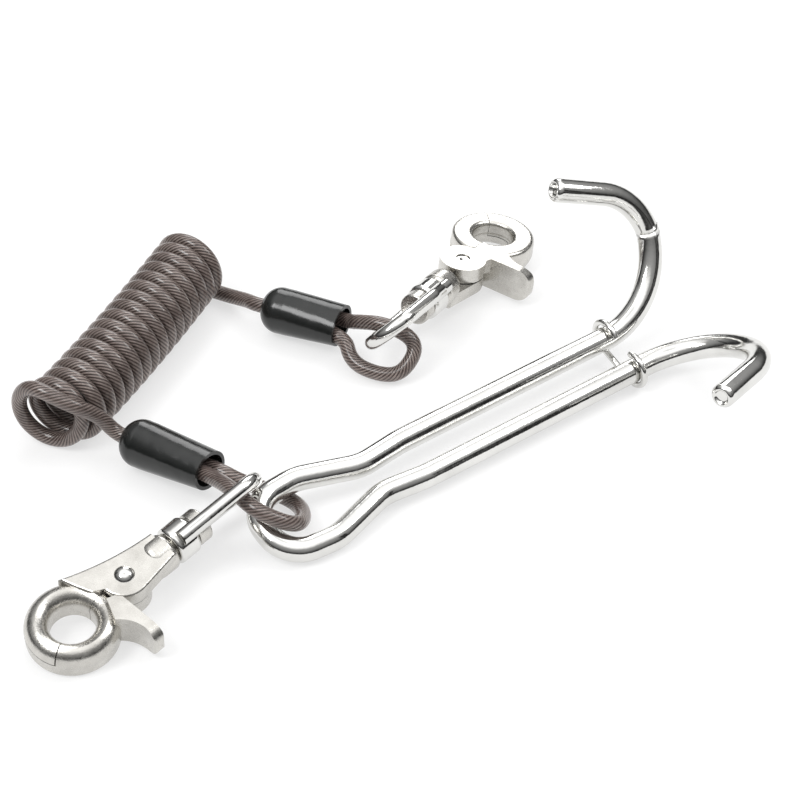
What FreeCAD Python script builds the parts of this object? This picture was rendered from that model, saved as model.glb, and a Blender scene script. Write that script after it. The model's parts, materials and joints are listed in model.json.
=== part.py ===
import FreeCAD, Part
import math
import os
import Sketcher
from FreeCAD import Placement, Rotation, Vector

# Double reef hook on a coiled wire lanyard, with a swivel trigger snap at each end.
# Millimetres, +Z up, standing on z = 0 as it lies on a table.

doc = FreeCAD.newDocument("reef_drift_hook")
sheet = doc.addObject("Spreadsheet::Sheet", "Sizes")

SIZES = (
    # where the drawing's middle lies on the table
    ("middle_x", 3.757),
    ("middle_y", -14.196),
    # bent hook rod
    ("rod_diameter", 6.0),
    ("arm_spacing", 11.3),
    ("hook_reach", 28.7),
    ("hook_shoulder", 28.3),
    ("hook_bend_radius", 18.0),
    ("hook_crown_radius", 12.5),
    ("hook_tip_back", 25.0),
    ("hook_tip_out", 10.6),
    ("hook_splay", 39.0),
    ("arm_length", 57.3),
    ("waist_spacing", 9.0),
    ("waist_from_arm", 12.0),
    ("waist_bend_radius", 14.0),
    ("eye_spacing", 18.4),
    ("eye_shoulder_from_waist", 16.0),
    ("eye_length", 14.0),
    ("eye_end_spacing", 16.4),
    ("eye_end_radius", 8.0),
    ("tip_chamfer", 1.0),
    ("eye_x", -30.817),
    ("eye_y", -53.203),
    ("eye_height", 5.457),
    ("hook_heading", 36.6),
    ("hook_dip", -0.44),
    ("hook_roll", 16.0),
    # keeper ring round both arms
    ("keeper_wire", 1.6),
    ("keeper_play", 0.35),
    ("keeper_place", 7.0),
    ("keeper_opening", 40.0),
    ("keeper_lift", 0.25),
    # wire rope
    ("cable_diameter", 3.8),
    ("coil_diameter", 19.3),
    ("coil_length", 70.4),
    ("coil_x", -85.9),
    ("coil_y", -17.5),
    ("coil_heading", 62.2),
    # end sleeves and the crimp ferrules inside them
    ("sleeve_diameter", 11.8),
    ("sleeve_wall", 0.9),
    ("sleeve_mouth_flat", 9.6),
    ("sleeve_dome", 5.0),
    ("sleeve_hole_play", 0.15),
    ("near_sleeve_length", 24.8),
    ("far_sleeve_length", 21.5),
    ("ferrule_wall", 0.8),
    ("ferrule_length", 8.0),
    ("ferrule_setback", 8.5),
    ("leg_spacing", 4.2),
    # snap body and trigger
    ("ring_ahead", 16.0),
    ("ring_inner_radius", 5.3),
    ("ring_width", 5.5),
    ("ring_front", 3.4),
    ("back_face", 4.2),
    ("ring_edge_radius", 1.1),
    ("plate_front", 3.9),
    ("plate_half_width", 6.0),
    ("plate_edge_radius", 0.8),
    ("barrel_radius", 4.6),
    ("barrel_end", 13.3),
    ("barrel_length", 6.6),
    ("barrel_edge_radius", 1.2),
    ("layer_gap", 0.2),
    ("jaw_front_split", 26.0),
    ("jaw_back_split", 41.0),
    ("jaw_gap", 0.25),
    ("disc_radius", 5.95),
    ("disc_gap", 0.35),
    ("lever_length", 18.0),
    ("lever_ahead", 4.6),
    ("lever_thickness", 2.8),
    ("lever_front", 4.5),
    ("lever_corner_radius", 4.2),
    # rivet and torsion spring
    ("rivet_radius", 1.5),
    ("rivet_play", 0.05),
    ("rivet_head_radius", 2.35),
    ("rivet_head_height", 1.2),
    ("rivet_tail_radius", 1.75),
    ("rivet_tail_depth", 0.9),
    ("spring_wire", 0.6),
    ("spring_radius", 2.95),
    ("spring_pitch", 0.72),
    ("spring_coils", 2.5),
    ("spring_room", 0.5),
    # swivel
    ("stud_radius", 2.5),
    ("stud_depth", 4.8),
    ("stud_head_radius", 4.1),
    ("stud_head_length", 3.6),
    ("swivel_play", 0.06),
    ("swivel_gap", 0.4),
    ("boss_radius", 4.7),
    ("boss_length", 6.1),
    ("bail_wire", 3.7),
    ("bail_spacing", 13.1),
    ("bail_root_spacing", 11.6),
    ("bail_end", 42.2),
    # how each snap lies
    ("near_snap_x", -61.85),
    ("near_snap_y", -72.6),
    ("near_snap_height", 8.0),
    ("near_snap_heading", 226.3),
    ("near_snap_pitch", 6.9),
    ("near_snap_roll", -9.0),
    ("near_bail_turn", 62.8),
    ("far_snap_x", 15.63),
    ("far_snap_y", 41.8),
    ("far_snap_height", 7.45),
    ("far_snap_heading", 58.85),
    ("far_snap_pitch", 8.6),
    ("far_snap_roll", 183.0),
    ("far_bail_turn", -51.9),
)
for row, (alias, value) in enumerate(SIZES, start=1):
    sheet.set("A%d" % row, alias)
    sheet.set("B%d" % row, str(value))
    sheet.setAlias("B%d" % row, alias)
doc.recompute()


def size(alias):
    return float(sheet.get(alias))


def bind(item, prop, expression):
    """Tie a property to the sheet; words that are aliases become references."""
    aliases = sorted((alias for alias, value in SIZES), key=len, reverse=True)
    for alias in aliases:
        expression = expression.replace(alias, "@%d@" % aliases.index(alias))
    for index, alias in enumerate(aliases):
        expression = expression.replace("@%d@" % index, "Sizes." + alias)
    item.setExpression(prop, expression)


def turned(heading, pitch=0.0, roll=0.0):
    """Heading about Z, nose down about Y, then roll about the piece's own X."""
    about_z = Rotation(Vector(0, 0, 1), heading)
    about_y = Rotation(Vector(0, 1, 0), pitch)
    about_x = Rotation(Vector(1, 0, 0), roll)
    return about_z.multiply(about_y).multiply(about_x)


def on_table(x, y, z):
    return Vector(x - size("middle_x"), y - size("middle_y"), z)


# Paths of straight runs joined by tangent arcs

def rounded_path(points, radii):
    """A wire through the points, with each inner corner rounded to its radius."""
    edges = []
    start = points[0]
    for corner, radius, before, after in zip(points[1:-1], radii, points[:-2], points[2:]):
        come = (before - corner).normalize()
        leave = (after - corner).normalize()
        half = come.getAngle(leave) / 2
        tangent = radius / math.tan(half)
        first = corner + come * tangent
        last = corner + leave * tangent
        middle_way = (come + leave).normalize()
        middle = corner + middle_way * (radius / math.sin(half) - radius)
        if (first - start).Length > 1e-4:
            edges.append(Part.LineSegment(start, first).toShape())
        edges.append(Part.Arc(first, middle, last).toShape())
        start = last
    if (points[-1] - start).Length > 1e-4:
        edges.append(Part.LineSegment(start, points[-1]).toShape())
    return Part.Wire(edges)


def cord_radii(points):
    """The largest arc that the two runs at each corner leave room for."""
    radii = []
    for before, corner, after in zip(points[:-2], points[1:-1], points[2:]):
        shorter = min((corner - before).Length, (after - corner).Length)
        turn = (corner - before).getAngle(after - corner)
        radii.append(0.45 * shorter / math.tan(turn / 2))
    return radii


def round_bar(name, path, diameter_alias, label=None):
    """A round section swept along a path, its radius tied to the sheet."""
    spine = doc.addObject("Part::Feature", name + "_path")
    spine.Shape = path
    first = path.OrderedEdges[0]
    if (first.valueAt(first.FirstParameter) - path.OrderedVertexes[0].Point).Length < 1e-6:
        start = first.valueAt(first.FirstParameter)
        along = first.tangentAt(first.FirstParameter)
    else:
        start = first.valueAt(first.LastParameter)
        along = first.tangentAt(first.LastParameter) * -1
    section = doc.addObject("Part::Circle", name + "_section")
    bind(section, "Radius", diameter_alias + " / 2")
    section.Placement = Placement(start, Rotation(Vector(0, 0, 1), along))
    bar = doc.addObject("Part::Sweep", name)
    bar.Sections = [section]
    bar.Spine = (spine, ["Edge%d" % (i + 1) for i in range(len(path.Edges))])
    bar.Solid = True
    bar.Frenet = False
    bar.Transition = "Right corner"
    bar.Label = label or name
    return bar


# Bodies with sketches

def origin_plane(body, role):
    for feature in body.Origin.OriginFeatures:
        if feature.Role == role:
            return feature


def new_body(name):
    body = doc.addObject("PartDesign::Body", name)
    body.Label = name
    return body


def sketch_on(body, name, role, offset=Vector(), turn=None):
    sketch = body.newObject("Sketcher::SketchObject", name)
    sketch.AttachmentSupport = (origin_plane(body, role), "")
    sketch.MapMode = "FlatFace"
    sketch.AttachmentOffset = Placement(offset, turn or Rotation())
    return sketch


def flat(x, y):
    return Vector(x, y, 0)


def outline(sketch, start, steps):
    """A closed outline: a step is an end point, or a middle and an end for an arc."""
    here = start
    for step in steps + [(start,)]:
        end = step[-1]
        if (end - here).Length < 1e-6:
            continue
        if len(step) == 2:
            sketch.addGeometry(Part.Arc(here, step[0], end), False)
        else:
            sketch.addGeometry(Part.LineSegment(here, end), False)
        here = end


def circle(sketch, x, y, radius_expression):
    index = sketch.addGeometry(Part.Circle(flat(x, y), Vector(0, 0, 1), 1.0), False)
    sketch.addConstraint(Sketcher.Constraint("DistanceX", -1, 1, index, 3, x))
    sketch.addConstraint(Sketcher.Constraint("DistanceY", -1, 1, index, 3, y))
    radius = sketch.addConstraint(Sketcher.Constraint("Radius", index, 1.0))
    bind(sketch, "Constraints[%d]" % radius, radius_expression)
    return index


def pad(body, name, sketch, length, down=False):
    feature = body.newObject("PartDesign::Pad", name)
    feature.Profile = sketch
    bind(feature, "Length", length)
    feature.Reversed = down
    return feature


def pocket(body, name, sketch, length=None, up=False):
    """Cuts towards the sketch's back, or its front where up is true."""
    feature = body.newObject("PartDesign::Pocket", name)
    feature.Profile = sketch
    if length:
        bind(feature, "Length", length)
    else:
        feature.Type = "ThroughAll"
        feature.Midplane = True
    feature.Reversed = up
    return feature


def spun(body, kind, name, sketch, axis, angle="360"):
    feature = body.newObject("PartDesign::" + kind, name)
    feature.Profile = sketch
    feature.ReferenceAxis = (sketch, [axis])
    bind(feature, "Angle", angle)
    return feature


def polar(x, y, radius, degrees):
    angle = math.radians(degrees)
    return flat(x + radius * math.cos(angle), y + radius * math.sin(angle))


# Hook rod: one bar, from tip to tip through both hooks, both arms and the eye

def hook_points():
    """Along the arms is X, across them Y; the hooks lean up out of that plane."""
    out_y = math.cos(math.radians(size("hook_splay")))
    out_z = math.sin(math.radians(size("hook_splay")))
    arm = size("arm_spacing") / 2
    reach = size("hook_reach")
    shoulder = size("hook_shoulder")

    def leaning(along, out):
        return Vector(along, arm + out * out_y, out * out_z)

    waist_x = -size("arm_length") - size("waist_from_arm")
    eye_x = waist_x - size("eye_shoulder_from_waist")
    points = [
        leaning(reach - size("hook_tip_back"), shoulder + size("hook_tip_out")),
        leaning(reach, shoulder),
        leaning(reach, 0),
        Vector(-size("arm_length"), arm, 0),
        Vector(waist_x, size("waist_spacing") / 2, 0),
        Vector(eye_x, size("eye_spacing") / 2, 0),
        Vector(eye_x - size("eye_length"), size("eye_end_spacing") / 2, 0),
    ]
    mirrored = [Vector(p.x, -p.y, p.z) for p in reversed(points)]
    return points + mirrored


def hook_radii():
    half = [
        size("hook_crown_radius"),
        size("hook_bend_radius"),
        size("waist_bend_radius") * 2,
        size("waist_bend_radius"),
        size("waist_bend_radius"),
        size("eye_end_radius"),
    ]
    return half + half[::-1]


def eye_reach():
    return sum(
        size(alias)
        for alias in ("arm_length", "waist_from_arm", "eye_shoulder_from_waist", "eye_length")
    )


# The eye's end keeps its place, because the lanyard and a snap are linked through it.
hook_turn = turned(size("hook_heading"), size("hook_dip"), size("hook_roll"))
hook_place = Placement(
    on_table(size("eye_x"), size("eye_y"), size("eye_height"))
    + hook_turn.multVec(Vector(eye_reach(), 0, 0)),
    hook_turn,
)
rod_bar = round_bar("hook_bar", rounded_path(hook_points(), hook_radii()), "rod_diameter")
doc.recompute()
tip_edges = []
for number, edge in enumerate(rod_bar.Shape.Edges, start=1):
    if edge.isClosed() and any(
        (edge.CenterOfMass - point).Length < 0.01 for point in (hook_points()[0], hook_points()[-1])
    ):
        tip_edges.append((number, size("tip_chamfer"), size("tip_chamfer")))
hook_rod = doc.addObject("Part::Chamfer", "hook_rod")
hook_rod.Base = rod_bar
hook_rod.Edges = tip_edges
hook_rod.Label = "hook_rod"
hook_rod.Placement = hook_place


# Keeper: an open wire ring, loose round both arms, with its gap between them on top

def keeper_path():
    ring = size("rod_diameter") / 2 + size("keeper_play") + size("keeper_wire") / 2
    arm = size("arm_spacing") / 2
    inward = math.radians(size("keeper_opening"))
    place = size("keeper_place")

    def near_arm(side, angle):
        height = ring * math.cos(angle) + size("keeper_lift")
        return Vector(place, side * (arm - ring * math.sin(angle)), height)

    edges = [
        Part.Arc(near_arm(1, inward), near_arm(1, -math.pi / 4), near_arm(1, -math.pi / 2)).toShape(),
        Part.Arc(
            near_arm(1, -math.pi / 2), near_arm(1, -0.75 * math.pi), near_arm(1, -math.pi)
        ).toShape(),
        Part.LineSegment(near_arm(1, -math.pi), near_arm(-1, -math.pi)).toShape(),
        Part.Arc(
            near_arm(-1, -math.pi), near_arm(-1, -0.75 * math.pi), near_arm(-1, -math.pi / 2)
        ).toShape(),
        Part.Arc(near_arm(-1, -math.pi / 2), near_arm(-1, -math.pi / 4), near_arm(-1, inward)).toShape(),
    ]
    return Part.Wire(edges)


arm_keeper = round_bar("arm_keeper", keeper_path(), "keeper_wire")
arm_keeper.Placement = hook_place


# Swivel trigger snap. In its own frame the rivet is the Z axis, the jaw lies along +X,
# the swivel along -X, the thumb lever towards +Y and the riveted face towards +Z.

def ring_section(sketch):
    """Flat on the trigger's side and domed on the riveted side."""
    inner = size("ring_inner_radius")
    outer = inner + size("ring_width")
    middle = (inner + outer) / 2
    back = -size("back_face")
    edge = size("ring_edge_radius")
    bow = edge * (1 - math.sqrt(0.5))
    waist = back + size("back_face") * 0.75
    front = size("ring_front")
    lean = size("ring_width") * 0.14
    rise = waist + (front - waist) * 0.72
    outline(sketch, flat(inner + edge, back), [
        (flat(outer - edge, back),),
        (flat(outer - bow, back + bow), flat(outer, back + edge)),
        (flat(outer, waist),),
        (flat(outer - lean, rise), flat(middle, front)),
        (flat(inner + lean, rise), flat(inner, waist)),
        (flat(inner, back + edge),),
        (flat(inner + bow, back + bow), flat(inner + edge, back)),
    ])


def jaw_sector(sketch, low, high):
    """The stretch of jaw ring between two angles, with room to spare inside and out."""
    centre = size("ring_ahead")
    short = size("ring_inner_radius") - 1
    long = size("ring_inner_radius") + size("ring_width") + 2
    middle = (low + high) / 2
    outline(sketch, polar(centre, 0, short, low), [
        (polar(centre, 0, long, low),),
        (polar(centre, 0, long, middle), polar(centre, 0, long, high)),
        (polar(centre, 0, short, high),),
        (polar(centre, 0, short, middle), polar(centre, 0, short, low)),
    ])


def jaw_gap_angle():
    middle = size("ring_inner_radius") + size("ring_width") / 2
    return math.degrees(size("jaw_gap") / middle)


def snap_body(name):
    body = new_body(name)
    half = size("plate_half_width")
    end = size("barrel_end")
    ahead = size("ring_ahead")
    outer = size("ring_inner_radius") + size("ring_width")
    radius = size("barrel_radius")
    reach = end - size("barrel_length")

    plate = sketch_on(body, name + "_plate_sketch", "XY_Plane")
    root = polar(ahead, 0, outer - 0.1, 244)
    rear = flat(-end + 1.5, radius - 0.4)
    turn_off = math.degrees(math.atan2(rear.y, rear.x) - math.acos(half / rear.Length))
    outline(plate, flat(rear.x, -rear.y), [
        (flat(1.5, -half - 0.3), root),
        (
            polar(ahead, 0, outer - size("ring_width") * 0.5, 222),
            polar(ahead, 0, outer - size("ring_width") * 0.6, 196),
        ),
        (polar(0, 0, half, -3),),
        (polar(0, 0, half, 45), polar(0, 0, half, turn_off)),
        (rear,),
    ])
    slab = pad(body, name + "_plate", plate, "plate_front")
    doc.recompute()
    edge_names = []
    for number, edge in enumerate(slab.Shape.Edges, start=1):
        on_top = all(abs(v.Point.z - size("plate_front")) < 1e-4 for v in edge.Vertexes)
        if on_top and edge.Length > size("plate_half_width"):
            if edge.CenterOfMass.x > rear.x + 0.1:
                edge_names.append("Edge%d" % number)
    rounding = body.newObject("PartDesign::Fillet", name + "_plate_edge")
    rounding.Base = (slab, edge_names)
    bind(rounding, "Radius", "plate_edge_radius")

    barrel = sketch_on(body, name + "_barrel_sketch", "XY_Plane")
    edge = size("barrel_edge_radius")
    bow = edge * (1 - math.sqrt(0.5))
    outline(barrel, flat(-end, 0), [
        (flat(-end, radius - edge),),
        (flat(-end + bow, radius - bow), flat(-end + edge, radius)),
        (flat(-reach - 2 * edge, radius),),
        (flat(-reach - edge * 0.7, radius - edge * 0.4), flat(-reach, radius - 1.6 * edge)),
        (flat(-reach, 0),),
    ])
    spun(body, "Revolution", name + "_barrel", barrel, "H_Axis")

    ring = sketch_on(
        body, name + "_ring_sketch", "XZ_Plane", Vector(ahead, 0, 0),
        Rotation(Vector(0, 1, 0), size("jaw_front_split")),
    )
    ring_section(ring)
    jaw = spun(body, "Revolution", name + "_ring", ring, "V_Axis", "jaw_front_split + 178.5")
    jaw.Reversed = True

    under = sketch_on(body, name + "_lap_sketch", "XY_Plane")
    jaw_sector(under, -size("jaw_back_split"), size("jaw_front_split") + 5)
    pocket(body, name + "_lap", under, "back_face + 1")

    room = sketch_on(body, name + "_disc_room_sketch", "XY_Plane")
    circle(room, 0, 0, "disc_radius + disc_gap")
    pocket(body, name + "_disc_room", room, "back_face + barrel_radius")

    bore = sketch_on(body, name + "_rivet_bore_sketch", "XY_Plane")
    circle(bore, 0, 0, "rivet_radius")
    pocket(body, name + "_rivet_bore", bore)

    socket = sketch_on(body, name + "_stud_bore_sketch", "XY_Plane")
    outline(socket, flat(-end - 1, 0), [
        (flat(-end - 1, size("stud_radius")),),
        (flat(-end + size("stud_depth"), size("stud_radius")),),
        (flat(-end + size("stud_depth"), 0),),
    ])
    spun(body, "Groove", name + "_stud_bore", socket, "H_Axis")
    return body


def trigger(name):
    body = new_body(name)
    ahead = size("ring_ahead")
    outer = size("ring_inner_radius") + size("ring_width")
    back = -size("back_face")
    gap = size("layer_gap")
    split = size("jaw_back_split") - jaw_gap_angle()

    disc = sketch_on(body, name + "_disc_sketch", "XY_Plane", Vector(0, 0, back))
    circle(disc, 0, 0, "disc_radius")
    pad(body, name + "_disc", disc, "back_face - layer_gap")

    web = sketch_on(body, name + "_web_sketch", "XY_Plane", Vector(0, 0, back))
    outline(web, flat(2, 0.3), [
        (flat(ahead - size("ring_inner_radius") - 0.4, 0.3),),
        (polar(ahead, 0, outer - 1.5, 140),),
        (flat(size("lever_ahead"), size("disc_radius")),),
        (flat(2, size("disc_radius") * 0.8),),
    ])
    pad(body, name + "_web", web, "back_face - layer_gap")

    ring = sketch_on(
        body, name + "_ring_sketch", "XZ_Plane", Vector(ahead, 0, 0),
        Rotation(Vector(0, 1, 0), -split),
    )
    ring_section(ring)
    spun(body, "Revolution", name + "_ring", ring, "V_Axis", "jaw_back_split + 178.5")

    over = sketch_on(body, name + "_lap_sketch", "XY_Plane", Vector(0, 0, -gap))
    jaw_sector(over, -size("jaw_back_split") - 5, size("jaw_front_split") + jaw_gap_angle())
    pocket(body, name + "_lap", over, "ring_front + 1", up=True)

    lever = sketch_on(body, name + "_lever_sketch", "XY_Plane", Vector(0, 0, back))
    low = size("lever_ahead")
    high = low + size("lever_thickness")
    tip = size("lever_length")
    crotch = polar(ahead, 0, outer - 1, 128)
    outline(lever, flat(low, size("disc_radius") * 0.55), [
        (flat(low - 0.3, tip - 1.2),),
        (flat((low + high) / 2, tip), flat(high - 0.4, tip - 1.6)),
        (flat(high + 0.4, crotch.y + 2.6), crotch),
        (polar(ahead, 0, outer - 2, 165),),
    ])
    pad(body, name + "_lever", lever, "back_face + lever_front")

    corners = sketch_on(body, name + "_corner_sketch", "YZ_Plane")
    radius = size("lever_corner_radius")
    bow = radius * (1 - math.sqrt(0.5))
    far = tip + 1
    top = size("lever_front")
    outline(corners, flat(far, top + 1), [
        (flat(tip - radius, top + 1),),
        (flat(tip - radius, top),),
        (flat(tip - bow, top - bow), flat(tip, top - radius)),
        (flat(far, top - radius),),
    ])
    outline(corners, flat(far, back - 1), [
        (flat(tip - radius, back - 1),),
        (flat(tip - radius, back),),
        (flat(tip - bow, back + bow), flat(tip, back + radius)),
        (flat(far, back + radius),),
    ])
    pocket(body, name + "_lever_corners", corners, "ring_ahead", up=True)

    room = sketch_on(body, name + "_plate_room_sketch", "XY_Plane", Vector(0, 0, -gap))
    circle(room, 0, 0, "plate_half_width + disc_gap")
    pocket(body, name + "_plate_room", room, "lever_front + layer_gap + 1", up=True)

    bore = sketch_on(body, name + "_rivet_bore_sketch", "XY_Plane")
    circle(bore, 0, 0, "rivet_radius + rivet_play")
    pocket(body, name + "_rivet_bore", bore)

    seat = sketch_on(body, name + "_tail_seat_sketch", "XY_Plane", Vector(0, 0, back))
    circle(seat, 0, 0, "rivet_tail_radius + rivet_play * 2")
    pocket(body, name + "_tail_seat", seat, "rivet_tail_depth + rivet_play", up=True)

    spring_room = sketch_on(body, name + "_spring_room_sketch", "XY_Plane", Vector(0, 0, -gap))
    circle(spring_room, 0, 0, "spring_radius + spring_wire / 2 + spring_room")
    pocket(body, name + "_spring_room", spring_room, "spring_pitch * spring_coils + spring_wire + 0.1")
    return body


def rivet(name):
    """Domed head on the front face, shank, and a spread tail in the trigger's back."""
    body = new_body(name)
    profile = sketch_on(body, name + "_sketch", "XZ_Plane")
    front = size("plate_front")
    head = size("rivet_head_radius")
    top = front + size("rivet_head_height")
    tail_face = -size("back_face") + 0.35
    tail_top = -size("back_face") + size("rivet_tail_depth")
    outline(profile, flat(0, top), [
        (flat(head * 0.62, top - size("rivet_head_height") * 0.27), flat(head, front)),
        (flat(size("rivet_radius"), front),),
        (flat(size("rivet_radius"), tail_top),),
        (flat(size("rivet_tail_radius"), tail_top),),
        (flat(size("rivet_tail_radius"), tail_face),),
        (flat(size("rivet_tail_radius") * 0.55, tail_face),),
        (flat(0, tail_face + 0.3),),
    ])
    spun(body, "Revolution", name + "_turned", profile, "V_Axis")
    return body


def torsion_spring(name):
    body = new_body(name)
    wire = sketch_on(body, name + "_wire_sketch", "XZ_Plane")
    circle(wire, size("spring_radius"), 0, "spring_wire / 2")
    coils = body.newObject("PartDesign::AdditiveHelix", name + "_coils")
    coils.Profile = wire
    coils.ReferenceAxis = (wire, ["V_Axis"])
    coils.Mode = 0
    bind(coils, "Pitch", "spring_pitch")
    bind(coils, "Height", "spring_pitch * spring_coils")
    return body


def stud(name):
    """Headed pin: its head turns inside the bail, its shank is fast in the snap's body."""
    body = new_body(name)
    profile = sketch_on(body, name + "_sketch", "XY_Plane")
    inside = -size("barrel_end") - size("boss_length") - 2 * size("swivel_gap")
    outside = inside - size("stud_head_length")
    radius = size("stud_head_radius")
    soft = 0.6
    bow = soft * (1 - math.sqrt(0.5))
    outline(profile, flat(outside, 0), [
        (flat(outside, radius - soft),),
        (flat(outside + bow, radius - bow), flat(outside + soft, radius)),
        (flat(inside - soft / 2, radius),),
        (flat(inside, radius - soft / 2),),
        (flat(inside, size("stud_radius")),),
        (flat(-size("barrel_end") + size("stud_depth"), size("stud_radius")),),
        (flat(-size("barrel_end") + size("stud_depth"), 0),),
    ])
    spun(body, "Revolution", name + "_turned", profile, "H_Axis")
    return body


def bail(name):
    """Swivel eye: a bored boss with a U of round wire springing from its sides."""
    front = -size("barrel_end") - size("swivel_gap")
    middle_x = front - size("boss_length") / 2
    end_x = -size("bail_end") + size("bail_wire") / 2
    arm = size("bail_spacing") / 2
    root = size("bail_root_spacing") / 2
    spread_x = front - size("boss_length") - 2.5
    side = [
        Vector(front - 1.2, root, 0),
        Vector(middle_x - 1.0, root, 0),
        Vector(spread_x, arm, 0),
        Vector(end_x, arm, 0),
    ]
    points = side + [Vector(p.x, -p.y, 0) for p in reversed(side)]
    gentle = 5.0
    turn = arm - 0.02
    wire = round_bar(
        name + "_wire", rounded_path(points, [gentle, gentle, turn, turn, gentle, gentle]), "bail_wire"
    )
    barrel = doc.addObject("Part::Cylinder", name + "_barrel")
    bind(barrel, "Radius", "boss_radius")
    bind(barrel, "Height", "boss_length")
    barrel.Placement = Placement(Vector(front, 0, 0), Rotation(Vector(0, 1, 0), -90))
    doc.recompute()
    eased = doc.addObject("Part::Fillet", name + "_eased")
    eased.Base = barrel
    eased.Edges = [
        (number, 1.0, 1.0)
        for number, edge in enumerate(barrel.Shape.Edges, start=1)
        if edge.isClosed()
    ]
    bore = doc.addObject("Part::Cylinder", name + "_bore")
    bind(bore, "Radius", "stud_radius + swivel_play")
    bind(bore, "Height", "boss_length + 4")
    bore.Placement = Placement(Vector(front + 2, 0, 0), Rotation(Vector(0, 1, 0), -90))
    joined = doc.addObject("Part::Fuse", name + "_joined")
    joined.Base = eased
    joined.Tool = wire
    whole = doc.addObject("Part::Cut", name)
    whole.Base = joined
    whole.Tool = bore
    whole.Label = name
    return whole


snap_pieces = []
for side in ("near", "far"):
    rest = Placement(
        on_table(size(side + "_snap_x"), size(side + "_snap_y"), size(side + "_snap_height")),
        turned(
            size(side + "_snap_heading"), size(side + "_snap_pitch"), size(side + "_snap_roll")
        ),
    )
    pieces = {
        "body": snap_body(side + "_snap_body"),
        "trigger": trigger(side + "_trigger"),
        "rivet": rivet(side + "_rivet"),
        "stud": stud(side + "_swivel_stud"),
    }
    for piece in pieces.values():
        piece.Placement = rest
    spring = torsion_spring(side + "_trigger_spring")
    below = -size("layer_gap") - size("spring_pitch") * size("spring_coils") - size("spring_wire") / 2
    spring.Placement = rest.multiply(Placement(Vector(0, 0, below), Rotation()))
    swivel_eye = bail(side + "_bail")
    swivel_eye.Placement = rest.multiply(
        Placement(Vector(), Rotation(Vector(1, 0, 0), size(side + "_bail_turn")))
    )
    snap_pieces += list(pieces.values()) + [spring, swivel_eye]


# Sleeves and ferrules. In their own frame the cable leaves the domed back at x = 0
# towards -X, and the loop's two legs leave the open mouth towards +X, side by side in Y.

def ellipse(sketch, half_wide, half_high):
    if abs(half_wide - half_high) < 1e-6:
        sketch.addGeometry(Part.Circle(flat(0, 0), Vector(0, 0, 1), half_wide), False)
        return
    sketch.addGeometry(
        Part.Ellipse(flat(half_wide, 0), flat(0, half_high), flat(0, 0)), False
    )


def sleeve(name, length):
    body = new_body(name)
    radius = size("sleeve_diameter") / 2
    wall = size("sleeve_wall")
    dome = size("sleeve_dome")
    flat_half = size("sleeve_mouth_flat") / 2

    cap = sketch_on(body, name + "_dome_sketch", "XY_Plane")
    hole = size("cable_diameter") / 2 + size("sleeve_hole_play")
    outline(cap, flat(0, hole), [
        (flat(0, hole + 0.5),),
        (flat(dome * 0.25, radius * 0.78), flat(dome, radius)),
        (flat(dome + 2, radius),),
        (flat(dome + 2, radius - wall),),
        (flat(dome, radius - wall),),
        (flat(dome * 0.36, (radius - wall) * 0.76), flat(wall * 1.2, hole)),
    ])
    spun(body, name="%s_dome" % name, kind="Revolution", sketch=cap, axis="H_Axis")

    back = sketch_on(body, name + "_back_sketch", "YZ_Plane", Vector(0, 0, dome + 2))
    ellipse(back, radius, radius)
    mouth = sketch_on(body, name + "_mouth_sketch", "YZ_Plane", Vector(0, 0, length))
    ellipse(mouth, radius, flat_half)
    outside = body.newObject("PartDesign::AdditiveLoft", name + "_tube")
    outside.Profile = back
    outside.Sections = [mouth]

    inner_back = sketch_on(body, name + "_inner_back_sketch", "YZ_Plane", Vector(0, 0, dome + 2))
    ellipse(inner_back, radius - wall, radius - wall)
    inner_mouth = sketch_on(body, name + "_inner_mouth_sketch", "YZ_Plane", Vector(0, 0, length))
    ellipse(inner_mouth, radius - wall, flat_half - wall)
    inside = body.newObject("PartDesign::SubtractiveLoft", name + "_hollow")
    inside.Profile = inner_back
    inside.Sections = [inner_mouth]
    return body


def ferrule(name):
    """Crimped oval with two bores side by side, one for each leg of the loop."""
    body = new_body(name)
    reach = size("leg_spacing") / 2
    round_end = size("cable_diameter") / 2 + size("ferrule_wall")
    oval = sketch_on(
        body, name + "_oval_sketch", "YZ_Plane", Vector(0, 0, size("ferrule_setback"))
    )
    outline(oval, flat(-reach, -round_end), [
        (flat(reach, -round_end),),
        (flat(reach + round_end, 0), flat(reach, round_end)),
        (flat(-reach, round_end),),
        (flat(-reach - round_end, 0), flat(-reach, -round_end)),
    ])
    pad(body, name + "_oval", oval, "ferrule_length")
    bores = sketch_on(
        body, name + "_bore_sketch", "YZ_Plane", Vector(0, 0, size("ferrule_setback"))
    )
    circle(bores, -reach, 0, "cable_diameter / 2")
    circle(bores, reach, 0, "cable_diameter / 2")
    pocket(body, name + "_bores", bores, "ferrule_length", up=True)
    return body


def sleeve_place(side):
    """The sleeve's frame: its back, the way to its mouth, and which way up its legs lie."""
    back, mouth, across = SLEEVE_LINES[side]
    along = (on_table(*mouth) - on_table(*back)).normalize()
    lean = Vector(*across)
    return Placement(on_table(*back), Rotation(along, lean, Vector(), "XYZ"))


SLEEVE_LINES = {
    "near": ((-65.48, -21.13, 6.31), (-44.3, -35.0, 8.0), (0.42, 0.84, -0.35)),
    "far": ((-34.2, 29.1, 6.2), (-14.9, 20.3, 7.2), (0.38, 0.92, 0.1)),
}
for side in ("near", "far"):
    where = sleeve_place(side)
    cap = sleeve(side + "_sleeve", size(side + "_sleeve_length"))
    cap.Placement = where
    crimp = ferrule(side + "_ferrule")
    crimp.Placement = where


# Wire rope. The coil's solid is its outer shape; the leads and loops are plain tubes.

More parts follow.
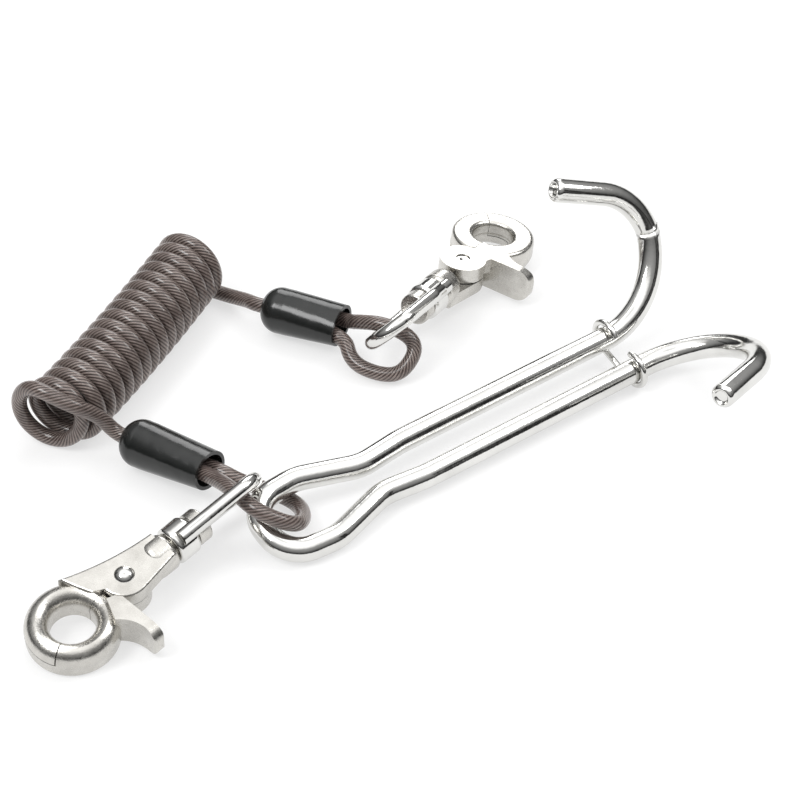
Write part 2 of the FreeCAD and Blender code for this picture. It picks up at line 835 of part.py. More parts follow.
coil_axis = turned(size("coil_heading")).multVec(Vector(1, 0, 0))
coil_place = Placement(
    on_table(size("coil_x"), size("coil_y"), size("coil_diameter") / 2),
    turned(size("coil_heading")).multiply(Rotation(Vector(0, 1, 0), 90)),
)
coil_outside = doc.addObject("Part::Cylinder", "coil_outside")
bind(coil_outside, "Radius", "coil_diameter / 2")
bind(coil_outside, "Height", "coil_length")
coil_inside = doc.addObject("Part::Cylinder", "coil_inside")
bind(coil_inside, "Radius", "coil_diameter / 2 - cable_diameter")
bind(coil_inside, "Height", "coil_length")
coil = doc.addObject("Part::Cut", "coil")
coil.Base = coil_outside
coil.Tool = coil_inside
coil.Label = "coil"
coil.Placement = coil_place


def in_sleeve(side, along, leg):
    """A point on one of the two legs' lines in a sleeve: leg is -1, 0 or 1."""
    across = leg * size("leg_spacing") / 2
    return sleeve_place(side).multVec(Vector(along, across, 0))


def on_coil(along, angle):
    """A point on the rope's line in the coil, measured from its near end."""
    radius = (size("coil_diameter") - size("cable_diameter")) / 2
    turn = math.radians(angle)
    return coil_place.multVec(Vector(-radius * math.sin(turn), -radius * math.cos(turn), along))


def half_way(side):
    return size("ferrule_setback") + size("ferrule_length") / 2


def into_sleeve(side, leg):
    """Through the back hole on the sleeve's axis, then over to one of the ferrule's bores."""
    over = size("ferrule_setback") - 1.9
    return [
        in_sleeve(side, -3.0, 0),
        in_sleeve(side, 3.0, 0),
        in_sleeve(side, over, leg),
        in_sleeve(side, half_way(side), leg),
    ]


def past_mouth(side):
    return size(side + "_sleeve_length") + 2.0


def dead_end(side):
    return size("ferrule_setback")


NEAR_LEAD = [
    (-91.8, -19.9, 16.9),
    (-88.4, -20.6, 19.6),
    (-84.2, -22.2, 20.2),
    (-78.3, -22.1, 18.2),
    (-72.2, -18.9, 11.5),
]
FAR_LEAD = [
    (-48.6, 47.3, 2.0),
    (-44.4, 41.8, 2.6),
    (-38.4, 34.0, 4.6),
]
NEAR_LOOP = [
    (-38.6, -46.8, 13.1),
    (-32.9, -54.1, 12.9),
    (-24.2, -54.6, 8.8),
    (-22.1, -47.4, 4.5),
    (-23.8, -39.8, 2.2),
    (-31.6, -35.6, 2.9),
    (-38.0, -35.5, 5.4),
]
FAR_LOOP = [
    (-10.8, 18.4, 10.0),
    (-3.0, 14.7, 12.2),
    (4.9, 12.0, 8.3),
    (0.9, 6.4, 3.2),
    (-4.9, 6.7, 2.3),
    (-12.4, 10.4, 3.5),
]


def laid(points):
    return [on_table(*point) for point in points]


cord_routes = {
    "near_lead": [on_coil(0, 150), on_coil(-4.6, 150)] + laid(NEAR_LEAD) + into_sleeve("near", -1),
    "far_lead": [on_coil(size("coil_length"), 270), on_coil(size("coil_length") + 2.2, 270)]
    + laid(FAR_LEAD) + into_sleeve("far", 1),
    "near_loop": [in_sleeve("near", half_way("near"), -1), in_sleeve("near", past_mouth("near"), -1)]
    + laid(NEAR_LOOP)
    + [in_sleeve("near", past_mouth("near"), 1), in_sleeve("near", dead_end("near"), 1)],
    "far_loop": [in_sleeve("far", half_way("far"), 1), in_sleeve("far", past_mouth("far"), 1)]
    + laid(FAR_LOOP)
    + [in_sleeve("far", past_mouth("far"), -1), in_sleeve("far", dead_end("far"), -1)],
}
for name, route in cord_routes.items():
    radii = cord_radii(route)
    path = rounded_path(route, radii)
    tube = round_bar(name, path, "cable_diameter")
    doc.recompute()
    plain = path.Length * math.pi * size("cable_diameter") ** 2 / 4
    print(
        name, "length %.1f" % path.Length, "radii", ["%.1f" % r for r in radii],
        "volume share %.4f" % (tube.Shape.Volume / plain),
    )


doc.recompute()

NODES = [
    "hook_rod", "arm_keeper", "coil", "near_lead", "near_loop", "far_lead", "far_loop",
]
for side in ("near", "far"):
    for piece in (
        "sleeve", "ferrule", "snap_body", "trigger", "rivet", "trigger_spring", "swivel_stud", "bail"
    ):
        NODES.append(side + "_" + piece)

bad = [item.Label for item in doc.Objects if "Invalid" in item.State or "Error" in item.State]
if bad:
    raise RuntimeError("failed objects: %s" % bad)
os.makedirs("parts", exist_ok=True)
shapes = {}
for node in NODES:
    shape = doc.getObjectsByLabel(node)[0].Shape
    if shape.isNull() or not shape.isValid():
        raise RuntimeError("no valid shape: " + node)
    shapes[node] = shape
for node, shape in shapes.items():
    shape.exportStep("parts/%s.step" % node)
    box = shape.BoundBox
    print(
        "%-20s solids %d  x %.1f %.1f  y %.1f %.1f  z %.2f %.2f  volume %.1f"
        % (node, len(shape.Solids), box.XMin, box.XMax, box.YMin, box.YMax, box.ZMin, box.ZMax, shape.Volume)
    )
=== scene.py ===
import json
import math
import bmesh
import bpy
from mathutils import Matrix, Vector


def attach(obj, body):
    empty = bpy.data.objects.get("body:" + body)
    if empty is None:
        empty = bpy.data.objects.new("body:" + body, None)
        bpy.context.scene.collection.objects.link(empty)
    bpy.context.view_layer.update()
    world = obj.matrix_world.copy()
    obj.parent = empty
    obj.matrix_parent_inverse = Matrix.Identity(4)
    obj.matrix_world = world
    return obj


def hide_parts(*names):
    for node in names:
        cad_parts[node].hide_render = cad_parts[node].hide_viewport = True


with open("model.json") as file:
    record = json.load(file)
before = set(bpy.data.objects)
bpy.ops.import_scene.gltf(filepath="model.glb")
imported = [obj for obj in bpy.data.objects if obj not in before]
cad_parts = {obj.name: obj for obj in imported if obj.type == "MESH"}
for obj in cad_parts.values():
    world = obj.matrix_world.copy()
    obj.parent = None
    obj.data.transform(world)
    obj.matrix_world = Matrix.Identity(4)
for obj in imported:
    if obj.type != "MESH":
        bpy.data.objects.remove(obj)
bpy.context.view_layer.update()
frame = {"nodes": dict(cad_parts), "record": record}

nodes = frame["nodes"]

# The table's own millimetres, and where the drawing's middle lies on it
place = {"middle": Vector((3.757, -14.196, 0.0)), "unit": 0.001}


def onTable(point):
    return (Vector(point) - place["middle"]) * place["unit"]


# Shader maths

class Wave:
    """A value in a node tree that adds, multiplies and mixes with others."""

    def __init__(self, tree, socket):
        self.tree = tree
        self.socket = socket

    def join(self, kind, other=None, third=None):
        node = self.tree.nodes.new("ShaderNodeMath")
        node.operation = kind
        for index, value in enumerate((self, other, third)):
            if value is None:
                continue
            if isinstance(value, Wave):
                self.tree.links.new(value.socket, node.inputs[index])
            else:
                node.inputs[index].default_value = value
        return Wave(self.tree, node.outputs[0])

    def __add__(self, other):
        return self.join("ADD", other)

    def __sub__(self, other):
        return self.join("SUBTRACT", other)

    def __mul__(self, other):
        return self.join("MULTIPLY", other)

    def __truediv__(self, other):
        return self.join("DIVIDE", other)

    def sine(self):
        return self.join("SINE")

    def absolute(self):
        return self.join("ABSOLUTE")

    def power(self, exponent):
        return self.join("POWER", exponent)

    def fraction(self):
        return self.join("FRACT")

    def clamped(self):
        node = self.tree.nodes.new("ShaderNodeClamp")
        self.tree.links.new(self.socket, node.inputs[0])
        return Wave(self.tree, node.outputs[0])


class Paint:
    """One material: its Principled shader and the few textures that drive it."""

    def __init__(self, name, **values):
        self.material = bpy.data.materials.new(name)
        self.material.use_nodes = True
        self.tree = self.material.node_tree
        self.shader = self.tree.nodes["Principled BSDF"]
        for key, value in values.items():
            self.shader.inputs[key].default_value = value

    def add(self, kind, **settings):
        node = self.tree.nodes.new(kind)
        for key, value in settings.items():
            setattr(node, key, value)
        return node

    def link(self, source, target):
        self.tree.links.new(source, target)

    def coordinate(self, kind="Object"):
        return self.add("ShaderNodeTexCoord").outputs[kind]

    def stretched(self, scale, kind="Object"):
        mapping = self.add("ShaderNodeMapping")
        mapping.inputs["Scale"].default_value = scale
        self.link(self.coordinate(kind), mapping.inputs["Vector"])
        return mapping.outputs["Vector"]

    def noise(self, scale, detail=3.0, roughness=0.5, source=None):
        node = self.add("ShaderNodeTexNoise")
        node.inputs["Scale"].default_value = scale
        node.inputs["Detail"].default_value = detail
        node.inputs["Roughness"].default_value = roughness
        self.link(source or self.coordinate(), node.inputs["Vector"])
        return Wave(self.tree, node.outputs["Fac"])

    def uv(self):
        split = self.add("ShaderNodeSeparateXYZ")
        self.link(self.coordinate("UV"), split.inputs[0])
        return Wave(self.tree, split.outputs[0]), Wave(self.tree, split.outputs[1])

    def between(self, wave, low, high, lowAt=0.0, highAt=1.0):
        node = self.add("ShaderNodeMapRange")
        for key, value in (("From Min", lowAt), ("From Max", highAt), ("To Min", low), ("To Max", high)):
            node.inputs[key].default_value = value
        self.link(wave.socket, node.inputs["Value"])
        return Wave(self.tree, node.outputs[0])

    def ramp(self, wave, stops):
        node = self.add("ShaderNodeValToRGB")
        band = node.color_ramp
        while len(band.elements) < len(stops):
            band.elements.new(0.5)
        for element, (at, color) in zip(band.elements, stops):
            element.position = at
            element.color = (*color, 1.0)
        self.link(wave.socket, node.inputs[0])
        return node.outputs[0]

    def drive(self, key, wave):
        self.link(wave.socket if isinstance(wave, Wave) else wave, self.shader.inputs[key])

    def bump(self, layers):
        """Each layer is a height, its depth in metres and its strength."""
        before = None
        for height, depth, strength in layers:
            node = self.add("ShaderNodeBump")
            node.inputs["Distance"].default_value = depth
            node.inputs["Strength"].default_value = strength
            self.link(height.socket, node.inputs["Height"])
            if before:
                self.link(before, node.inputs["Normal"])
            before = node.outputs["Normal"]
        self.link(before, self.shader.inputs["Normal"])


def polishedSteel():
    paint = Paint("polished steel", Metallic=1.0)
    haze = paint.noise(90.0, 4.0)
    paint.drive("Base Color", paint.ramp(haze, [(0.3, (0.66, 0.655, 0.635)), (0.7, (0.78, 0.775, 0.755))]))
    paint.drive("Roughness", paint.between(paint.noise(420.0, 5.0, 0.6), 0.06, 0.17, 0.3, 0.75))
    drawn = paint.noise(60.0, 2.0)
    paint.bump([(drawn, 0.0006, 0.12), (paint.noise(420.0, 3.0), 0.00022, 0.16), (paint.noise(2600.0, 2.0), 0.00004, 0.16)])
    return paint.material


def castSteel():
    paint = Paint("cast steel", Metallic=1.0)
    cloud = paint.noise(160.0, 5.0, 0.6)
    paint.drive("Base Color", paint.ramp(cloud, [(0.3, (0.50, 0.485, 0.455)), (0.7, (0.66, 0.645, 0.61))]))
    paint.drive("Roughness", paint.between(paint.noise(700.0, 6.0, 0.65), 0.17, 0.34, 0.3, 0.7))
    paint.bump([
        (paint.noise(240.0, 3.0), 0.0005, 0.16),
        (paint.noise(900.0, 3.0), 0.00014, 0.22),
        (paint.noise(3600.0, 3.0, 0.7), 0.00006, 0.35),
    ])
    return paint.material


def springSteel():
    paint = Paint("spring steel", Metallic=1.0)
    cloud = paint.noise(900.0, 3.0)
    paint.drive("Base Color", paint.ramp(cloud, [(0.3, (0.30, 0.30, 0.31)), (0.7, (0.45, 0.45, 0.46))]))
    paint.drive("Roughness", paint.between(cloud, 0.22, 0.4))
    return paint.material


def crimpedAluminium():
    paint = Paint("crimped aluminium", Metallic=1.0)
    cloud = paint.noise(500.0, 4.0)
    paint.drive("Base Color", paint.ramp(cloud, [(0.3, (0.55, 0.55, 0.55)), (0.7, (0.70, 0.70, 0.70))]))
    paint.drive("Roughness", paint.between(cloud, 0.3, 0.5))
    return paint.material


def blackSleeve():
    paint = Paint("black sleeve")
    cloud = paint.noise(240.0, 3.0)
    paint.drive("Base Color", paint.ramp(cloud, [(0.3, (0.008, 0.009, 0.0085)), (0.7, (0.015, 0.016, 0.0155))]))
    paint.drive("Roughness", paint.between(paint.noise(600.0, 4.0), 0.13, 0.24))
    paint.bump([(paint.noise(110.0, 2.0), 0.0009, 0.35), (paint.noise(1500.0, 2.0), 0.00004, 0.15)])
    return paint.material


def wireRope(strands, lay, length):
    """Twisted strands of fine wire, seen through a smoky clear coat. Its colour carries painted shade in the
    grooves between strands and painted highlights on the strand and wire crests.
    """
    paint = Paint("coated wire rope", Metallic=0.45)
    paint.shader.inputs["Coat Weight"].default_value = 0.9
    paint.shader.inputs["Coat Roughness"].default_value = 0.16
    paint.shader.inputs["Coat Tint"].default_value = (0.80, 0.73, 0.70, 1.0)
    paint.shader.inputs["Sheen Weight"].default_value = 0.22
    paint.shader.inputs["Sheen Roughness"].default_value = 0.35
    paint.shader.inputs["Sheen Tint"].default_value = (0.62, 0.56, 0.54, 1.0)
    round_, along = paint.uv()
    across = (round_ + along * (length / lay)) * strands
    valley = ((across * math.pi).sine()).absolute()
    wires = (round_ * 3.0 - along * (length / lay) * 1.4) * (strands * math.pi)
    wireCrest = wires.sine().absolute()
    grain = paint.noise(700.0, 4.0, 0.6)
    # Large soft patches that are random tone and painted highlight in one.
    blotchAndGlint = paint.noise(160.0, 2.0)
    # The colour darkens in the strands' grooves as painted shade and lightens on the wire crests and the large
    # patches as painted highlights; the fine grain is random tone.
    tone = valley.power(0.8) * 0.56 + wireCrest * 0.14 + grain * 0.30 + blotchAndGlint * 0.24 - 0.14
    # The darkest stop is the painted shade of the grooves; the lightest stop is a painted highlight.
    paint.drive("Base Color", paint.ramp(tone, [
        (0.14, (0.022, 0.015, 0.013)),
        (0.42, (0.070, 0.054, 0.049)),
        (0.66, (0.165, 0.136, 0.127)),
        (0.92, (0.44, 0.40, 0.375)),
    ]))
    paint.drive("Roughness", paint.between(grain, 0.30, 0.46, 0.3, 0.7))
    paint.bump([(valley, 0.00028, 0.7), (wireCrest, 0.00010, 0.5)])
    return paint.material


rope = {
    "radius": 1.9,
    "strands": 12,
    "lay": 13.0,
    "groove": 0.05,
    "sides": 40,
    "step": 0.62,
}

paints = {
    "polished_steel": polishedSteel(),
    "cast_steel": castSteel(),
    "spring_steel": springSteel(),
    "crimped_aluminium": crimpedAluminium(),
    "black_sleeve": blackSleeve(),
}
slotOf = {row["node"]: row["material_slot"] for row in frame["record"]["subparts"]}
for name, piece in nodes.items():
    if slotOf[name] not in paints:
        continue
    piece.data.materials.clear()
    piece.data.materials.append(paints[slotOf[name]])
print("stage: metal and sleeves painted")


# Wire rope: one rope from crimp to crimp, through both loops, both leads and the coil

sleeves = {
    "near": {
        "back": (-65.48, -21.13, 6.31), "mouth": (-44.3, -35.0, 8.0), "across": (0.42, 0.84, -0.35),
        "length": 24.8, "leg": -1,
    },
    "far": {
        "back": (-34.2, 29.1, 6.2), "mouth": (-14.9, 20.3, 7.2), "across": (0.38, 0.92, 0.1),
        "length": 21.5, "leg": 1,
    },
}
crimp = {"start": 8.5, "middle": 12.5, "over": 6.6, "legs": 4.2}
coil = {
    "start": Vector((-82.85, -19.51, 9.73)),
    "heading": math.radians(64.49),
    "first": 0.6,
    "last": 69.2,
    "radius": 7.83,
    "bow": 0.9,
    "loose": 2.6,
    "lift": 1.2,
    "firstAngle": 120.0,
    "lastAngle": 6030.0,
    "perTurn": 16,
}
nearLead = [
    (-71.8, -18.6, 11.0), (-76.4, -21.0, 15.6), (-80.6, -20.5, 17.6), (-85.4, -18.4, 19.1),
]
farLead = [(-48.6, 41.0, 2.0), (-43.6, 37.6, 2.8), (-38.6, 33.2, 4.8)]
nearLoop = [
    (-38.6, -46.8, 13.1), (-32.9, -54.1, 12.9), (-24.2, -54.6, 8.8), (-22.1, -47.4, 4.5),
    (-23.8, -39.8, 2.2), (-31.6, -35.6, 2.9), (-38.0, -35.5, 5.4),
]
farLoop = [
    (-10.8, 18.4, 10.0), (-3.0, 14.7, 12.2), (4.9, 12.0, 8.3), (0.9, 6.4, 3.2), (-4.9, 6.7, 2.3),
    (-12.4, 10.4, 3.5),
]


def inSleeve(side, along, leg):
    sleeve = sleeves[side]
    ahead = (Vector(sleeve["mouth"]) - Vector(sleeve["back"])).normalized()
    lean = Vector(sleeve["across"])
    lean = (lean - ahead * lean.dot(ahead)).normalized()
    return Vector(sleeve["back"]) + ahead * along + lean * (leg * crimp["legs"] / 2)


def onCoil(along, angle):
    """A point of the helix: its axis bows a little, and its first turn stands off to the left."""
    ahead = Vector((math.cos(coil["heading"]), math.sin(coil["heading"]), 0.0))
    left = Vector((-ahead.y, ahead.x, 0.0))
    turn = math.radians(angle)
    radius = coil["radius"] / (0.75 + 0.25 * math.cos(math.tau / coil["perTurn"]))
    bow = coil["bow"] * math.sin(math.pi * along / (coil["first"] + coil["last"]))
    loose = coil["loose"] * max(0.0, 1.0 - max(0.0, angle - 330.0) / 360.0) ** 2
    lift = coil["lift"] * max(0.0, 1.0 - (angle - coil["firstAngle"]) / 80.0)
    return (
        coil["start"] + ahead * along - left * (radius * math.cos(turn) + bow - loose)
        + Vector((0.0, 0.0, radius * math.sin(turn) + lift))
    )


def intoSleeve(side):
    leg = sleeves[side]["leg"]
    return [
        inSleeve(side, -3.0, 0), inSleeve(side, 3.0, 0), inSleeve(side, crimp["over"], leg),
        inSleeve(side, crimp["middle"], leg),
    ]


def outAndBack(side, loop):
    """From the crimp out of the mouth, round the loop and back to the rope's end."""
    sleeve = sleeves[side]
    leg = sleeve["leg"]
    past = sleeve["length"] + 2.0
    return [inSleeve(side, past, leg), *loop, inSleeve(side, past, -leg), inSleeve(side, crimp["start"], -leg)]


def coilPoints():
    """Turns side by side, not quite evenly spaced."""
    sweep = coil["lastAngle"] - coil["firstAngle"]
    count = round(sweep / 360.0 * coil["perTurn"])
    points = []
    for index in range(count + 1):
        along = coil["first"] + (coil["last"] - coil["first"]) * index / count
        wander = 0.10 * math.sin(index * 0.61) + 0.07 * math.sin(index * 0.23)
        points.append(onCoil(along + wander, coil["firstAngle"] + sweep * index / count))
    return points


route = (
    list(reversed(outAndBack("near", nearLoop)))
    + list(reversed(intoSleeve("near")))
    + nearLead
    + coilPoints()
    + farLead
    + intoSleeve("far")
    + outAndBack("far", farLoop)
)

lineCurve = bpy.data.curves.new("rope line", "CURVE")
lineCurve.dimensions = "3D"
lineCurve.resolution_u = 8
spline = lineCurve.splines.new("NURBS")
spline.points.add(len(route) - 1)
for point, spot in zip(spline.points, route):
    point.co = (*onTable(spot), 1.0)
spline.order_u = 3
spline.use_endpoint_u = True
lineObject = bpy.data.objects.new("rope line", lineCurve)
lineMesh = bpy.data.meshes.new_from_object(lineObject)
raw = [vertex.co.copy() for vertex in lineMesh.vertices]
bpy.data.objects.remove(lineObject)


def evenly(points, step):
    """The same line with its points a step apart."""
    lengths = [0.0]
    for before, after in zip(points, points[1:]):
        lengths.append(lengths[-1] + (after - before).length)
    count = round(lengths[-1] / step)
    out = []
    index = 0
    for number in range(count + 1):
        wanted = lengths[-1] * number / count
        while index < len(points) - 2 and lengths[index + 1] < wanted:
            index += 1
        span = lengths[index + 1] - lengths[index]
        share = (wanted - lengths[index]) / span if span > 0 else 0.0
        out.append(points[index].lerp(points[index + 1], min(max(share, 0.0), 1.0)))
    return out, lengths[-1]


centre, ropeLength = evenly(raw, rope["step"] * place["unit"])
print("stage: rope line, %.3f m in %d steps" % (ropeLength, len(centre)))


def ropeMesh(name, line, length):
    """A lobed tube whose lobes are the strands, twisting with the lay."""
    mesh = bmesh.new()
    uvLayer = mesh.loops.layers.uv.new("UVMap")
    sides = rope["sides"]
    ahead = (line[1] - line[0]).normalized()
    side = ahead.orthogonal().normalized()
    rings = []
    for index, spot in enumerate(line):
        before = line[max(index - 1, 0)]
        after = line[min(index + 1, len(line) - 1)]
        ahead = (after - before).normalized()
        side = (side - ahead * side.dot(ahead)).normalized()
        up = ahead.cross(side)
        share = index / (len(line) - 1)
        twist = share * length / (rope["lay"] * place["unit"])
        ring = []
        for corner in range(sides):
            turn = corner / sides
            lobe = abs(math.sin(math.pi * rope["strands"] * (turn + twist)))
            radius = rope["radius"] - rope["groove"] * (1.0 - lobe ** 0.7)
            angle = turn * math.tau
            out = side * math.cos(angle) + up * math.sin(angle)
            ring.append(mesh.verts.new(spot + out * (radius * place["unit"])))
        rings.append(ring)
    for index, (ring, following) in enumerate(zip(rings, rings[1:])):
        for corner in range(sides):
            other = (corner + 1) % sides
            face = mesh.faces.new((ring[corner], ring[other], following[other], following[corner]))
            face.smooth = True
            spots = (
                (corner, index), (corner + 1, index), (corner + 1, index + 1), (corner, index + 1)
            )
            for loop, (around, along) in zip(face.loops, spots):
                loop[uvLayer].uv = (around / sides, along / (len(rings) - 1))
    mesh.faces.new(list(reversed(rings[0])))
    mesh.faces.new(rings[-1])
    data = bpy.data.meshes.new(name)
    mesh.to_mesh(data)
    mesh.free()
    piece = bpy.data.objects.new(name, data)
    bpy.context.scene.collection.objects.link(piece)
    return piece


lanyard = ropeMesh("lanyard_rope", centre, ropeLength)
ropePaint = wireRope(rope["strands"], rope["lay"] * place["unit"], ropeLength)
lanyard.data.materials.append(ropePaint)
for piece in nodes.values():
    if slotOf[piece.name] == "coated_wire_rope":
        piece.data.materials.clear()
        piece.data.materials.append(ropePaint)
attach(lanyard, "hook_and_lanyard")
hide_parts("near_loop", "near_lead", "coil", "far_lead", "far_loop")
print("stage: rope built, %d faces" % len(lanyard.data.polygons))


# Hook rod: one bar from tip to tip, each tip chamfered and hollowed by the cut-off tool

hook = {
    "radius": 3.0,
    "eyeEnd": Vector((-30.817, -53.203, 5.457)),
    "heading": 36.6,
    "dip": -0.44,
    "roll": 16.0,
    "arm": 57.3,
    "spacing": 11.3,
    "waist": {"from": 12.0, "spacing": 9.0, "radius": 14.0},
    "eye": {"from": 16.0, "spacing": 18.4, "length": 14.0, "end": 16.4, "radius": 8.0},
    "upper": {
        "reach": 28.11, "shoulder": 29.52, "tipBack": 22.88, "tipOut": 10.57, "splay": 43.62, "bend": 21.54,
        "crown": 16.23, "hollow": 2.6,
    },
    "lower": {
        "reach": 27.81, "shoulder": 29.37, "tipBack": 23.94, "tipOut": 8.59, "splay": 41.62, "bend": 17.28,
        "crown": 15.65, "hollow": 0.7,
    },
}


def hookTurn():
    turn = Matrix.Rotation(math.radians(hook["heading"]), 3, "Z")
    turn = turn @ Matrix.Rotation(math.radians(hook["dip"]), 3, "Y")
    return turn @ Matrix.Rotation(math.radians(hook["roll"]), 3, "X")


def hookSide(name, side):
    """Corners and radii of one half, from the hook's tip to the eye's end."""
    form = hook[name]
    lean = math.radians(form["splay"])
    arm = hook["spacing"] / 2

    def leaning(along, out):
        return Vector((along, side * (arm + out * math.cos(lean)), out * math.sin(lean)))

    waist = -hook["arm"] - hook["waist"]["from"]
    eye = waist - hook["eye"]["from"]
    corners = [
        leaning(form["reach"] - form["tipBack"], form["shoulder"] + form["tipOut"]),
        leaning(form["reach"], form["shoulder"]),
        leaning(form["reach"], 0.0),
        Vector((-hook["arm"], side * arm, 0.0)),
        Vector((waist, side * hook["waist"]["spacing"] / 2, 0.0)),
        Vector((eye, side * hook["eye"]["spacing"] / 2, 0.0)),
        Vector((eye - hook["eye"]["length"], side * hook["eye"]["end"] / 2, 0.0)),
    ]
    bend = hook["waist"]["radius"]
    return corners, [form["crown"], form["bend"], bend * 2, bend, bend, hook["eye"]["radius"]]


def bentLine(corners, radii, step=4.0):
    """Straight runs joined by arcs, with a point every few degrees of an arc."""
    line = [corners[0]]
    for before, corner, after, radius in zip(corners, corners[1:], corners[2:], radii):
        come = (before - corner).normalized()
        leave = (after - corner).normalized()
        half = come.angle(leave) / 2
        centre = corner + (come + leave).normalized() * (radius / math.sin(half))
        first = corner + come * (radius / math.tan(half)) - centre
        last = corner + leave * (radius / math.tan(half)) - centre
        sweep = first.angle(last)
        count = max(2, round(math.degrees(sweep) / step))
        for index in range(count + 1):
            share = index / count
            spot = first * math.sin((1 - share) * sweep) + last * math.sin(share * sweep)
            line.append(centre + spot / math.sin(sweep))
    line.append(corners[-1])
    return line


def hollowEnd(radius, depth):
    """Rings of a bar's end, as how far in and how wide, from its middle out."""
    return [
        (depth * 0.9, radius * 0.22), (depth, radius * 0.40), (depth * 0.75, radius * 0.56), (0.12, radius * 0.60),
        (0.0, radius * 0.66), (0.03, radius * 0.74), (0.30, radius * 0.88), (0.75, radius * 0.97), (1.3, radius),
    ]


def barMesh(name, line, radius, startDepth, endDepth, sides=40):
    mesh = bmesh.new()
    along = (line[1] - line[0]).normalized()
    back = (line[-2] - line[-1]).normalized()
    spots = [(line[0] + along * far, along, wide) for far, wide in hollowEnd(radius, startDepth)]
    for index in range(1, len(line) - 1):
        ahead = (line[index + 1] - line[index - 1]).normalized()
        spots.append((line[index], ahead, radius))
    spots += [(line[-1] + back * far, -back, wide) for far, wide in reversed(hollowEnd(radius, endDepth))]
    side = along.orthogonal().normalized()
    rings = []
    for spot, ahead, wide in spots:
        side = (side - ahead * side.dot(ahead)).normalized()
        up = ahead.cross(side)
        ring = []
        for corner in range(sides):
            angle = math.tau * corner / sides
            ring.append(mesh.verts.new(onTable(spot + (side * math.cos(angle) + up * math.sin(angle)) * wide)))
        rings.append(ring)
    for ring, following in zip(rings, rings[1:]):
        for corner in range(sides):
            other = (corner + 1) % sides
            face = mesh.faces.new((ring[corner], ring[other], following[other], following[corner]))
            face.smooth = True
    mesh.faces.new(list(reversed(rings[0])))
    mesh.faces.new(rings[-1])
    data = bpy.data.meshes.new(name)
    mesh.to_mesh(data)
    mesh.free()
    piece = bpy.data.objects.new(name, data)
    bpy.context.scene.collection.objects.link(piece)
    return piece


upperCorners, upperRadii = hookSide("upper", 1)
lowerCorners, lowerRadii = hookSide("lower", -1)
turn = hookTurn()
reach = hook["arm"] + hook["waist"]["from"] + hook["eye"]["from"] + hook["eye"]["length"]
origin = hook["eyeEnd"] + turn @ Vector((reach, 0.0, 0.0))
hookLine = [
    origin + turn @ point
    for point in bentLine(upperCorners + lowerCorners[::-1], upperRadii + lowerRadii[::-1])
]
hookRod = barMesh("bent_hook_rod", hookLine, hook["radius"], hook["upper"]["hollow"], hook["lower"]["hollow"])
hookRod.data.materials.append(paints["polished_steel"])
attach(hookRod, "hook_and_lanyard")
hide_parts("hook_rod")
print("stage: hook rod bent")


# Studio: pale floor, white surroundings with a dark low band, and a camera as the photograph's

studio = {
    "floorWidth": 5.0,
    "distance": 0.680,
    "elevation": math.radians(40.8),
    "lens": 123.93,
}


def lookAt(thing, target):
    thing.rotation_euler = (Vector(target) - thing.location).to_track_quat("-Z", "Y").to_euler()


floorMesh = bmesh.new()
bmesh.ops.create_grid(floorMesh, x_segments=1, y_segments=1, size=studio["floorWidth"] / 2)
floorData = bpy.data.meshes.new("floor")
floorMesh.to_mesh(floorData)
floorMesh.free()
floor = bpy.data.objects.new("floor", floorData)
bpy.context.scene.collection.objects.link(floor)
floorPaint = Paint("pale floor", Roughness=0.9)
floorPaint.shader.inputs["Base Color"].default_value = (0.93, 0.93, 0.93, 1.0)
glow = floorPaint.add("ShaderNodeEmission")
rays = floorPaint.add("ShaderNodeLightPath")
seen = Wave(floorPaint.tree, rays.outputs["Is Camera Ray"])
for kind in ("Is Glossy Ray", "Is Transmission Ray"):
    seen = seen.join("MAXIMUM", Wave(floorPaint.tree, rays.outputs[kind]))
share = seen * 0.62
blend = floorPaint.add("ShaderNodeMixShader")
floorPaint.link(share.socket, blend.inputs[0])
floorPaint.link(floorPaint.shader.outputs[0], blend.inputs[1])
floorPaint.link(glow.outputs[0], blend.inputs[2])
floorPaint.link(blend.outputs[0], floorPaint.tree.nodes["Material Output"].inputs["Surface"])
floor.data.materials.append(floorPaint.material)

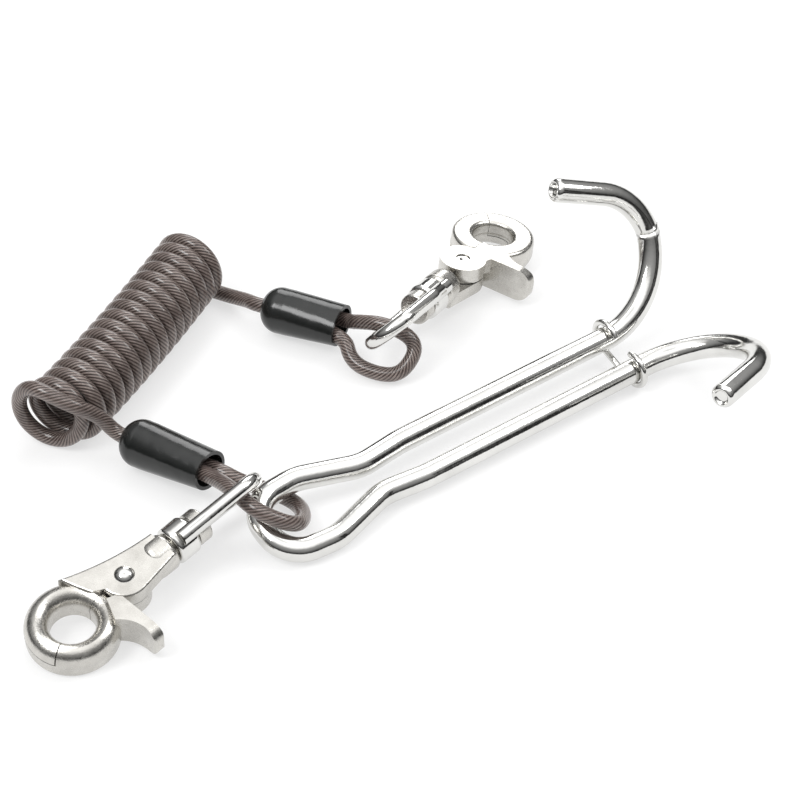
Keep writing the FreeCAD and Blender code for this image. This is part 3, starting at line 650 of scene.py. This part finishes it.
world = bpy.data.worlds.new("surroundings")
bpy.context.scene.world = world
world.use_nodes = True
sky = world.node_tree
back = sky.nodes["Background"]
direction = sky.nodes.new("ShaderNodeTexCoord")
heights = sky.nodes.new("ShaderNodeSeparateXYZ")
sky.links.new(direction.outputs["Generated"], heights.inputs[0])
bands = sky.nodes.new("ShaderNodeValToRGB")
band = bands.color_ramp
for at, tone in (
    (0.02, 0.03), (0.16, 0.05), (0.28, 0.16), (0.45, 0.30), (0.66, 0.42), (0.82, 1.35), (0.97, 1.7)
):
    element = band.elements.new(at)
    element.color = (tone, tone, tone, 1.0)
band.elements.remove(band.elements[0])
sky.links.new(heights.outputs["Z"], bands.inputs[0])
sky.links.new(bands.outputs[0], back.inputs["Color"])
back.inputs["Strength"].default_value = 1.0

lamps = (
    {"name": "key", "at": (-0.55, -0.35, 0.85), "size": 0.4, "watts": 4.5},
    {"name": "fill", "at": (0.65, 0.15, 0.75), "size": 0.4, "watts": 2.5},
    {"name": "rim", "at": (0.0, 0.95, 0.55), "size": 0.5, "watts": 3.0},
)
for lamp in lamps:
    data = bpy.data.lights.new(lamp["name"], "AREA")
    data.size = lamp["size"]
    data.energy = lamp["watts"]
    light = bpy.data.objects.new(lamp["name"], data)
    light.location = lamp["at"]
    lookAt(light, (0.0, 0.0, 0.0))
    bpy.context.scene.collection.objects.link(light)

cards = (
    {"name": "card_left", "at": (-0.75, 0.25, 0.20), "size": (0.10, 0.50)},
    {"name": "card_right", "at": (0.70, -0.30, 0.20), "size": (0.10, 0.50)},
)
cardPaint = Paint("dark card", Roughness=0.9)
cardPaint.shader.inputs["Base Color"].default_value = (0.01, 0.01, 0.01, 1.0)
for card in cards:
    mesh = bmesh.new()
    bmesh.ops.create_grid(mesh, x_segments=1, y_segments=1, size=0.5)
    wide, high = card["size"]
    bmesh.ops.scale(mesh, vec=(wide, high, 1.0), verts=mesh.verts)
    data = bpy.data.meshes.new(card["name"])
    mesh.to_mesh(data)
    mesh.free()
    thing = bpy.data.objects.new(card["name"], data)
    thing.location = card["at"]
    lookAt(thing, (0.0, 0.0, 0.0))
    thing.visible_camera = False
    thing.visible_shadow = False
    thing.data.materials.append(cardPaint.material)
    bpy.context.scene.collection.objects.link(thing)

camera = bpy.data.objects.new("camera", bpy.data.cameras.new("camera"))
bpy.context.scene.collection.objects.link(camera)
target = onTable((0.0, 0.0, 0.0))
camera.location = target + Vector((
    0.0, -math.cos(studio["elevation"]) * studio["distance"], math.sin(studio["elevation"]) * studio["distance"]
))
lookAt(camera, target)
camera.data.lens = studio["lens"]
camera.data.sensor_width = 36.0
bpy.context.scene.camera = camera
bpy.context.scene.view_settings.view_transform = "Standard"
print("stage: studio set")
